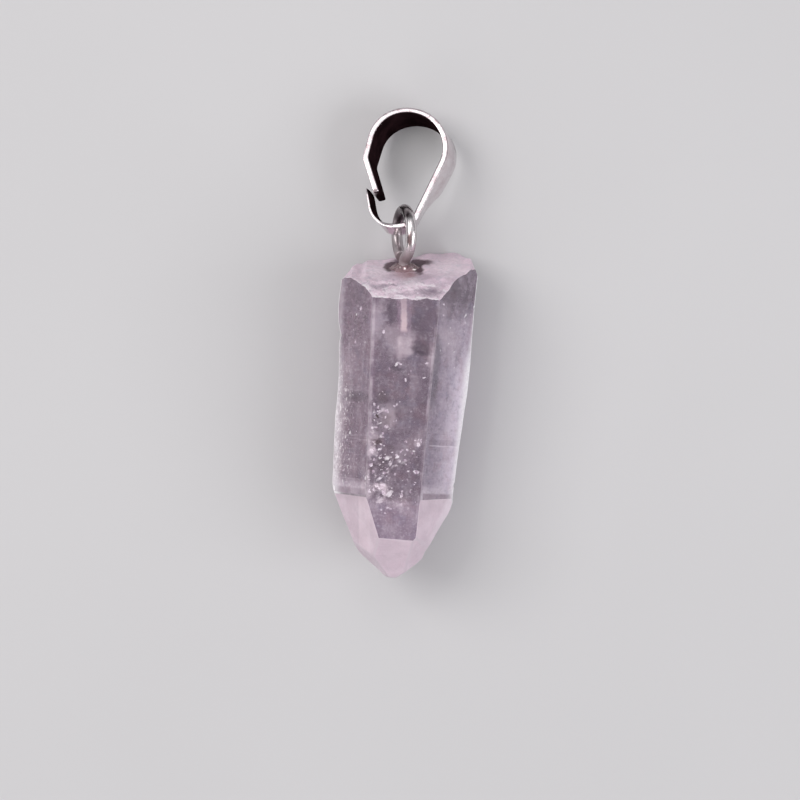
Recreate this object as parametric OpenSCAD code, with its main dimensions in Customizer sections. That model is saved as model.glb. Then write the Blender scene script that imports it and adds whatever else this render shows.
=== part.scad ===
// Quartz point pendant with a glued eye pin and a one-piece strip bail.
// The pendant lies on its flat back face. Up the page is +Y, and +Z is away from the surface.

/* [Crystal] */
// Length along the crystal's axis, from the worn tip to the broken end
crystal_length = 27.0; // [22:0.5:34]
// Thickness of the crystal, twice the height of its axis above the surface
crystal_thickness = 10; // [9:0.1:12]
// Lean of the crystal's axis, its broken end toward the right
crystal_lean = 4.5; // [0:0.5:6]
// Diameter of the drilled hole
hole_d = 1.24; // [1.1:0.02:1.6]
// Depth of the drilled hole below its mouth
hole_depth = 5.6; // [4:0.1:7]

/* [Eye pin] */
// Outer diameter of the eye
eye_d = 5.16; // [5:0.02:5.4]
// Diameter of the wire, in the eye and in the hole
wire_d = 0.96; // [0.84:0.02:1]
// Turn of the eye about its peg, the upper side toward the right
eye_turn = 17; // [0:1:25]

/* [Glue] */
// Radius of the bead round the mouth of the hole
bead_r = 1.15; // [1:0.05:1.4]
// Height of the bead above the broken surface
bead_h = 0.35; // [0.25:0.05:0.4]

/* [Bail] */
// Thickness of the strip
strip_t = 0.5; // [0.4:0.05:0.6]
// Width of the strip where it passes through the eye
strip_w_eye = 2.0; // [1.6:0.1:2.1]
// Width of the strip at the crown
strip_w_crown = 3.4; // [2.4:0.1:3.4]
// Width of the narrow hook
hook_w = 1.3; // [1:0.1:1.6]

/* [Hidden] */
$fn = 64;

// Gaps from the glue to the crystal and to the wire
glue_gap = 0.02;
wire_gap = 0.04;
axis_height = crystal_thickness / 2;
// Where the crystal's axis meets its broken surface
break_centre = [0.55, 6.57, axis_height];
// Axis of the peg, and the place where it enters the broken surface
peg_x = -0.08;
mouth = [peg_x, 6.54, axis_height];
eye_centre = [peg_x, 9.44, axis_height];
eye_r = (eye_d - wire_d) / 2;
// The wire bends out from the peg and then back round the eye
neck_r = 0.8;
neck_rise = sqrt(eye_r * eye_r + 2 * eye_r * neck_r);
neck_angle = atan2(neck_rise, neck_r);
eye_sweep = 318;
// The neck is a little thicker than the wire, which runs on into it at both ends
neck_extra_d = 0.06;
neck_overlap = 0.1;
overlap_angle = 3;
// What the peg and the glue leave free at the bottom of the hole
peg_end_gap = 0.4;
glue_end_gap = 0.6;
// The drill's cone, and how far the drill reaches out past the mouth
drill_cone_h = 0.3 * hole_d;
drill_point_d = 0.1;
drill_reach = 3;
// Side of the blocks that cut the facets
block = 80;

// Columns of the facet tables
AZIMUTH = 0;
SLOPE = 1;
REACH = 2;
// Prism faces: azimuth round the axis, taper toward the tip, and distance
// from the axis at the broken end as a share of the half width
PRISM_FACES = [
    [0, 1.0, 1.06],
    [60, 1.5, 1.00],
    [120, 1.8, 1.04],
    [180, 0, 1.00],
    [-120, 1.1, 0.975],
    [-60, 2.7, 1.09]
];
// Worn facets of the tip: azimuth, slope toward the tip, distance beyond the tip's point
TIP_FACES = [
    [-60, 19, 2.0],
    [-100, 25, 1.6],
    [95, 23, 2.05],
    [0, 46, 0.92],
    [-75, 47, 0.14],
    [50, 38, 1.57],
    [100, 50, 0.38],
    [180, 38, -0.2],
    [-120, 38, 0.9],
    [120, 38, 0.92],
    [0, 90, 0]
];
// Broken surfaces, a negative slope facing away from the tip: the main break,
// the front chip, the flat back and the two chipped side corners
MAIN_BREAK = [-17.8, -67.9, 0];
FRONT_CHIP = [-3, -49.4, 1.23];
BREAK_FACES = [
    MAIN_BREAK,
    FRONT_CHIP,
    [-79, -79.3, 0.9],
    [90, -26.7, 5.21],
    [-90, -33.2, 4.19]
];

// Columns of the scoop table
ACROSS = 0;
DOWN = 1;
SCOOP_R = 2;
SCOOP_DEPTH = 3;
// Shell-shaped scoops in the front chip
SCOOPS = [
    [2.2, -4.9, 2.2, 0.32],
    [-1.7, -4.1, 1.8, 0.16]
];

// Columns of the bend table
RUN = 0;
BEND_R = 1;
BEND = 2;
// Strip of the bail from the hook's tip round to its free end:
// straight run, then the radius and angle of the bend that follows it
BAIL_BENDS = [
    [1.8, 2.31, 89],
    [0.2, 1.73, 57],
    [5.18, 3.36, 140],
    [0, 3.16, 51],
    [1.64, 1.2, 31],
    [2.98, 0, 0]
];
hook_tip = [-3.39, 3.71];
hook_heading = -81;
bend_step = 5;
// Middle of the strip's width where it passes through the eye
bail_seat = [0, 9.85, axis_height - 0.2];
// The bail droops from there until the lower edge of its crown rests on the surface
crown_y = 10.7;
rest_gap = 0.03;
crown_reach = norm([crown_y, strip_w_crown / 2]);
bail_droop = asin((bail_seat.z - rest_gap) / crown_reach) - atan2(strip_w_crown / 2, crown_y);

function forward(angle) = [cos(angle), sin(angle)];
function leftward(angle) = [-sin(angle), cos(angle)];
function heading(row) = row == 0 ? hook_heading : heading(row - 1) + BAIL_BENDS[row - 1][BEND];
function run_start(row) = row == 0 ? hook_tip : bend_point(row - 1, BAIL_BENDS[row - 1][BEND]);
function bend_start(row) = run_start(row) + BAIL_BENDS[row][RUN] * forward(heading(row));
function bend_point(row, turned) =
    bend_start(row)
    + BAIL_BENDS[row][BEND_R] * (leftward(heading(row)) - leftward(heading(row) + turned));
function bend_steps(row) = max(1, ceil(BAIL_BENDS[row][BEND] / bend_step));
function side_point(point, angle, offset) = point + offset * leftward(angle);
// One side of the strip: the start of the hook, then each bend in steps, then the free end
function strip_side(offset) = concat(
    [side_point(hook_tip, hook_heading, offset)],
    [for (row = [0 : len(BAIL_BENDS) - 2], k = [0 : bend_steps(row)])
        if (k > 0 || BAIL_BENDS[row][RUN] > 0)
            let (turned = BAIL_BENDS[row][BEND] * k / bend_steps(row))
                side_point(bend_point(row, turned), heading(row) + turned, offset)],
    [side_point(bend_start(len(BAIL_BENDS) - 1), heading(len(BAIL_BENDS) - 1), offset)]
);
function reversed(list) = [for (k = [len(list) - 1 : -1 : 0]) list[k]];

// Puts children on a facet's plane, with +Z facing outward
module on_facet(face) {
    rotate([0, face[AZIMUTH], 0])
    rotate([face[SLOPE], 0, 0])
    translate([0, 0, face[REACH]])
    children();
}

// Everything outside a facet's plane
module outside_facet(face) {
    on_facet(face)
    translate([0, 0, block / 2])
    cube(block, center = true);
}

// Puts children in the crystal's own frame: its axis along Y, the break at the origin
module crystal_frame() {
    translate(break_centre)
    rotate([0, 0, -crystal_lean])
    children();
}

module quartz_point() {
    color([0.80, 0.75, 0.80, 0.75])
    difference() {
        crystal_frame()
        difference() {
            translate([0, -crystal_length / 2, 0])
            cube([3 * axis_height, crystal_length + 4, 3 * axis_height], center = true);
            for (face = PRISM_FACES)
                outside_facet([face[AZIMUTH], face[SLOPE], face[REACH] * axis_height]);
            for (face = TIP_FACES)
                translate([0, -crystal_length, 0])
                outside_facet(face);
            for (face = BREAK_FACES)
                outside_facet(face);
            for (scoop = SCOOPS)
                on_facet(FRONT_CHIP)
                translate([scoop[ACROSS], scoop[DOWN], scoop[SCOOP_R] - scoop[SCOOP_DEPTH]])
                sphere(r = scoop[SCOOP_R]);
        }
        drilled_hole();
    }
}

// Blind hole with the cone that a drill leaves at its bottom
module drilled_hole() {
    translate(mouth - [0, hole_depth, 0])
    rotate([-90, 0, 0]) {
        cylinder(d = hole_d, h = hole_depth + drill_reach);
        translate([0, 0, -drill_cone_h])
        cylinder(d1 = drill_point_d, d2 = hole_d, h = drill_cone_h);
    }
}

// The wire made thicker all round by extra: peg, neck, and eye with its end at the neck
module pin_shape(extra) {
    thickness = wire_d + 2 * extra;
    translate(eye_centre)
    rotate([0, 90 + eye_turn, 0]) {
        rotate([0, 0, 180 + neck_angle - eye_sweep])
        rotate_extrude(angle = eye_sweep + overlap_angle)
        translate([eye_r, 0])
        circle(d = thickness);
        translate([-neck_r, -neck_rise, 0])
        rotate_extrude(angle = neck_angle)
        translate([neck_r, 0])
        circle(d = thickness + neck_extra_d);
    }
    translate(mouth - [0, hole_depth - peg_end_gap, 0])
    rotate([-90, 0, 0])
    cylinder(
        d = thickness,
        h = hole_depth - peg_end_gap + eye_centre.y - neck_rise - mouth.y + neck_overlap
    );
}

module eye_pin() {
    color([0.78, 0.76, 0.76])
    pin_shape(0);
}

// Clear glue: a sleeve between the peg and the hole, with a low bead at the mouth
module glue_bead() {
    bead_sphere = (bead_r * bead_r + bead_h * bead_h) / (2 * bead_h);
    color([0.70, 0.66, 0.68, 0.8])
    difference() {
        union() {
            translate(mouth - [0, hole_depth - glue_end_gap, 0])
            rotate([-90, 0, 0])
            cylinder(d = hole_d - 2 * glue_gap, h = hole_depth - glue_end_gap);
            difference() {
                translate(mouth)
                rotate([0, 0, -crystal_lean])
                on_facet(MAIN_BREAK)
                translate([0, 0, bead_h - bead_sphere])
                sphere(r = bead_sphere);
                crystal_frame()
                on_facet(MAIN_BREAK)
                translate([0, 0, glue_gap - block / 2])
                cube(block, center = true);
            }
        }
        pin_shape(wire_gap);
    }
}

// Outline of the strip seen from the side of the bail: wider toward the crown
module strip_width() {
    rotate([90, 0, 90])
    linear_extrude(height = 20, center = true)
    polygon([
        [-1, -strip_w_eye / 2],
        [0, -strip_w_eye / 2],
        [crown_y, -strip_w_crown / 2],
        [crown_y + 1, -strip_w_crown / 2],
        [crown_y + 1, strip_w_crown / 2],
        [crown_y, strip_w_crown / 2],
        [0, strip_w_eye / 2],
        [-1, strip_w_eye / 2]
    ]);
}

// What the narrowed hook leaves away on both of its edges, up to its rounded tip.
// It stops at the slit between the hook and the strip's free end.
module hook_relief() {
    shoulder_x = -0.9;
    narrow_x = -2.3;
    past_hook_x = -5;
    shoulder_half = strip_w_eye / 2 + 0.1;
    tip_top = hook_tip.y + 0.1;
    slit_low = [-2.85, 2.55];
    slit_high = [-3.05, tip_top];
    difference() {
        linear_extrude(height = 6, center = true)
        polygon([
            [shoulder_x, -1],
            [past_hook_x, -1],
            [past_hook_x, tip_top],
            slit_high,
            slit_low,
            [shoulder_x, slit_low.y]
        ]);
        rotate([90, 0, 0])
        linear_extrude(height = 12, center = true)
        polygon([
            [shoulder_x + 0.1, -shoulder_half],
            [shoulder_x, -shoulder_half],
            [narrow_x, -hook_w / 2],
            [past_hook_x - 1, -hook_w / 2],
            [past_hook_x - 1, hook_w / 2],
            [narrow_x, hook_w / 2],
            [shoulder_x, shoulder_half],
            [shoulder_x + 0.1, shoulder_half]
        ]);
    }
    translate([past_hook_x, hook_tip.y - hook_w / 2, 0])
    rotate([0, 90, 0])
    difference() {
        translate([-2, 0, 0])
        cube([4, hook_w / 2 + 0.1, 2]);
        translate([0, 0, -1])
        cylinder(d = hook_w, h = 4);
    }
}

module bail() {
    color([0.92, 0.90, 0.91])
    translate(bail_seat)
    rotate([-bail_droop, 0, 0])
    difference() {
        intersection() {
            linear_extrude(height = 6, center = true)
            polygon(concat(strip_side(strip_t / 2), reversed(strip_side(-strip_t / 2))));
            strip_width();
        }
        hook_relief();
    }
}

quartz_point();
eye_pin();
glue_bead();
bail();
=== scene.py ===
import bpy
import bmesh
import math
import random
from mathutils import Matrix, Vector, noise


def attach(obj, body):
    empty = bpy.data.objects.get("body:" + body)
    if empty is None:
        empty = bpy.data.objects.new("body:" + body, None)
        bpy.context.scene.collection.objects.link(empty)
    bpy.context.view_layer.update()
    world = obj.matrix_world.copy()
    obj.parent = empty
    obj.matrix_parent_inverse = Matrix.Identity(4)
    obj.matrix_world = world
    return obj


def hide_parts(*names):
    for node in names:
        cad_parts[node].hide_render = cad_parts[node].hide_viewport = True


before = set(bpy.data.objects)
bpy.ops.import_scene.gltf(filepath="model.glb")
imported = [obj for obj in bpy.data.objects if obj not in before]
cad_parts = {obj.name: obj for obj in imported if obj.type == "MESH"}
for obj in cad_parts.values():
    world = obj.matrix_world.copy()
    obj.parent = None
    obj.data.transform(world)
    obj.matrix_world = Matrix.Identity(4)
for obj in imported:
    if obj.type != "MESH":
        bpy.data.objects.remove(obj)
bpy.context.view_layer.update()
mm = 0.001
upright = (math.pi / 2, 0, 0)  # turns a flat primitive so that it looks along Y
print("frame loaded:", sorted(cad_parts))


def editMode():
    bpy.ops.object.mode_set(mode="EDIT")


def objectMode():
    bpy.ops.object.mode_set(mode="OBJECT")


def clearSelection():
    if bpy.context.object and bpy.context.object.mode != "OBJECT":
        objectMode()
    bpy.ops.object.select_all(action="DESELECT")


def takeUp(*pieces):  # those that operators act on, the first of them active
    clearSelection()
    for piece in pieces:
        piece.select_set(True)
    bpy.context.view_layer.objects.active = pieces[0]


def joined(pieces):
    takeUp(*pieces)
    bpy.ops.object.join()
    return pieces[0]


def applyModifiers(piece):
    takeUp(piece)
    for modifier in list(piece.modifiers):
        bpy.ops.object.modifier_apply(modifier=modifier.name)


def namedPiece(name):  # what a primitive operator has just made
    piece = bpy.context.object
    piece.name = piece.data.name = name
    bpy.ops.object.transform_apply(location=True, rotation=True, scale=True)
    return piece


def editAll():
    editMode()
    bpy.ops.mesh.select_all(action="SELECT")


def editFaces(piece, test):  # with only the faces selected that pass the test
    for part in (*piece.data.vertices, *piece.data.edges):
        part.select = False
    for face in piece.data.polygons:
        face.select = test(face)
    editMode()


def extrude(step):
    bpy.ops.mesh.extrude_region_move(TRANSFORM_OT_translate={"value": step})


def closeMesh():  # merges doubles, turns the faces outward and leaves edit mode
    bpy.ops.mesh.select_all(action="SELECT")
    bpy.ops.mesh.remove_doubles(threshold=1e-4)
    bpy.ops.mesh.normals_make_consistent(inside=False)
    objectMode()


def cut(piece, cutter):
    boolean = piece.modifiers.new("cut", "BOOLEAN")
    boolean.operation, boolean.solver, boolean.object = "DIFFERENCE", "EXACT", cutter
    applyModifiers(piece)
    bpy.data.objects.remove(cutter)


def settle(piece, place, degrees, finish=None):  # from mm to metres, in the row's frame, and smooth
    piece.data.transform(place)
    piece.data.transform(Matrix.Scale(mm, 4))
    if finish:
        piece.data.materials.append(finish)
    takeUp(piece)
    bpy.ops.object.shade_smooth_by_angle(angle=math.radians(degrees))


def finishPiece(piece, slotName, *nodes):
    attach(piece, "root")
    if nodes:
        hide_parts(*nodes)
    print("made", piece.name, len(piece.data.polygons), "faces")


def progress(value, low, high):  # how far a number has come from low to high, 0 to 1
    return min(1, max(0, (value - low) / (high - low)))


def ease(value, low, high):  # the same, smooth at both ends
    part = progress(value, low, high)
    return part * part * (3 - 2 * part)


def along(table, y):  # value of a table of places and values
    for (fromY, fromValue), (toY, toValue) in zip(table, table[1:]):
        if fromY <= y <= toY:
            return fromValue + (toValue - fromValue) * (y - fromY) / (toY - fromY)
    return table[0][1] if y < table[0][0] else table[-1][1]


def fill(socket, value):  # with a link, a number, or a colour of three numbers
    if isinstance(value, Link):
        value.tree.links.new(value.socket, socket)
    else:
        socket.default_value = (*value, 1) if socket.type == "RGBA" else value


class Link:  # wraps a socket, so that shader maths reads as plain sums
    def __init__(self, tree, socket=None):
        self.tree, self.socket = tree, socket

    def node(self, kind, settings=None, inputs=None, output=0):
        made = self.tree.nodes.new(kind)
        for name, value in (settings or {}).items():
            setattr(made, name, value)
        for name, value in (inputs or {}).items():
            fill(made.inputs[name], value)
        return Link(self.tree, made.outputs[output])

    def output(self, number):  # another output of the same node
        return Link(self.tree, self.socket.node.outputs[number])

    def maths(self, operation, *values):
        return self.node("ShaderNodeMath", {"operation": operation}, dict(enumerate(values)))

    def vector(self, operation, *values, output=0):
        return self.node("ShaderNodeVectorMath", {"operation": operation}, dict(enumerate(values)), output)

    def axes(self):  # its x, y and z
        split = self.node("ShaderNodeSeparateXYZ", {}, {0: self})
        return split, split.output(1), split.output(2)

    def __add__(self, other):
        return self.maths("ADD", self, other)

    def __sub__(self, other):
        return self.maths("SUBTRACT", self, other)

    def __rsub__(self, other):
        return self.maths("SUBTRACT", other, self)

    def __mul__(self, other):
        return self.maths("MULTIPLY", self, other)

    __radd__, __rmul__ = __add__, __mul__


def rise(value, low, high):  # 0 at low, 1 at high, smooth between, and falling where low is higher
    return value.node("ShaderNodeMapRange", {"interpolation_type": "SMOOTHSTEP"},
                      {"Value": value, "From Min": low, "From Max": high})


def band(value, low, high, soft):
    return rise(value, low - soft, low) * rise(value, high + soft, high)


def blend(mask, first, second):
    return mask.node("ShaderNodeMix", {"data_type": "RGBA"}, {0: mask, 6: first, 7: second}, output=2)


def coats(tone, *layers):  # each layer is a mask and a colour
    for mask, colour in layers:
        tone = blend(mask, tone, colour)
    return tone


def lay(value, mask, target):  # moves a number toward a target where the mask is 1
    return value + mask * (target - value)


def stretch(place, scale):
    return place.vector("MULTIPLY", place, scale)


def shift(place, step):
    return place.vector("ADD", place, step)


def marks(place, spots):  # soft spots, each given by its middle, half sizes, softness and strength
    total = 0.0
    for x, y, wide, high, soft, strength in spots:
        away = stretch(shift(place, (-x, -y, 0)), (1 / wide, 1 / high, 0))
        far = away.vector("LENGTH", away, output=1)
        total = strength * rise(far, 1 + soft, 1 - soft) + total
    return total


def wander(place, scale, reach):  # the same places, led astray by a slow noise
    drift = place.node("ShaderNodeTexNoise", {}, {"Vector": place, "Scale": scale, "Detail": 4.0}, output=1)
    return drift.vector("MULTIPLY_ADD", shift(drift, (-0.5, -0.5, -0.5)), (reach, reach, reach), place)


def grain(place, scale, detail=4.0, rough=0.55, distort=0.0):
    return place.node("ShaderNodeTexNoise", {}, {"Vector": place, "Scale": scale, "Detail": detail,
                                                 "Roughness": rough, "Distortion": distort})


def bump(height, depth, strength=1.0):  # depth in mm
    return height.node("ShaderNodeBump", {},
                       {"Height": height, "Distance": depth * mm, "Strength": strength})


def feed(shader, **sockets):
    for name, value in sockets.items():
        fill(shader.inputs[name.replace("_", " ")], value)


def newFinish(name, **plain):  # plain numbers go straight onto the shader's own sockets
    finish = bpy.data.materials.new(name)
    finish.use_nodes = True
    shader = finish.node_tree.nodes["Principled BSDF"]
    feed(shader, **plain)
    return finish, shader, Link(finish.node_tree)


def layOver(shader, mask, other):  # another shader over this one, where the mask is 1
    both = mask.node("ShaderNodeMixShader", {}, {0: mask, 1: Link(mask.tree, shader.outputs[0]), 2: other})
    feed(mask.tree.nodes["Material Output"], Surface=both)


def placeOf(start):  # in metres
    return start.node("ShaderNodeTexCoord", output=3)


def placeInMm(start):
    return stretch(placeOf(start), (1000, 1000, 1000))


def facingOf(start):  # x is to the right, z toward the face that shows
    return start.node("ShaderNodeTexCoord", output=1)


surround = {
    "cameraPlace": (-0.435, -5.0, 305.0),  # straight above the pendant, in mm
    "lens": 155.3,
    "floorSize": 3.0,
    "floorColour": (0.6, 0.59, 0.6),
    "skyTop": (0.55, 0.55, 0.56),
    "skyLow": (0.24, 0.24, 0.25),
    # name, place and size in mm, watts, colour
    "softboxes": [
        ("keyLight", (-260, 120, 330), (260, 260), 0.85, (1, 0.985, 0.97)),
        ("fillLight", (290, -120, 240), (300, 220), 0.6, (0.97, 0.98, 1)),
        ("edgeLight", (0, 230, 345), (200, 160), 0.13, (1, 0.975, 0.975)),
        ("lowFill", (-230, -320, 200), (260, 160), 0.22, (1, 0.99, 0.98))],
}


def makeSurround():
    clearSelection()
    bpy.ops.object.camera_add(location=Vector(surround["cameraPlace"]) * mm, rotation=(0, 0, 0))
    camera = bpy.context.object
    camera.name = "camera"
    camera.data.lens, camera.data.sensor_width = surround["lens"], 36
    camera.data.clip_start, camera.data.clip_end = 0.01, 10
    bpy.context.scene.camera = camera
    bpy.context.scene.view_settings.view_transform = "Standard"

    clearSelection()
    bpy.ops.mesh.primitive_plane_add(size=surround["floorSize"])
    floor = namedPiece("floor")
    finish, shader, start = newFinish("paleFloor", Roughness=0.65)
    place, pale = placeOf(start), surround["floorColour"]
    feed(shader, Base_Color=blend(rise(grain(place, 14, 3), 0.3, 0.7), pale, [c * 0.97 for c in pale]),
         Normal=bump(grain(place, 900, 3), 0.02, 0.6))
    floor.data.materials.append(finish)

    world = bpy.data.worlds.new("studio")
    world.use_nodes = True
    bpy.context.scene.world = world
    height = Link(world.node_tree).node("ShaderNodeTexCoord").axes()[2]
    feed(world.node_tree.nodes["Background"],
         Color=blend(rise(height, 0.05, 0.9), surround["skyLow"], surround["skyTop"]))

    for name, place, (wide, high), watts, colour in surround["softboxes"]:
        clearSelection()
        bpy.ops.object.light_add(type="AREA", location=Vector(place) * mm)
        lamp = bpy.context.object
        lamp.name = name
        lamp.rotation_euler = (-Vector(place)).to_track_quat("-Z", "Y").to_euler()
        lamp.data.shape = "RECTANGLE"
        lamp.data.size, lamp.data.size_y = wide * mm, high * mm
        lamp.data.energy, lamp.data.color = watts, colour
    print("camera, floor and light")


makeSurround()

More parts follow.
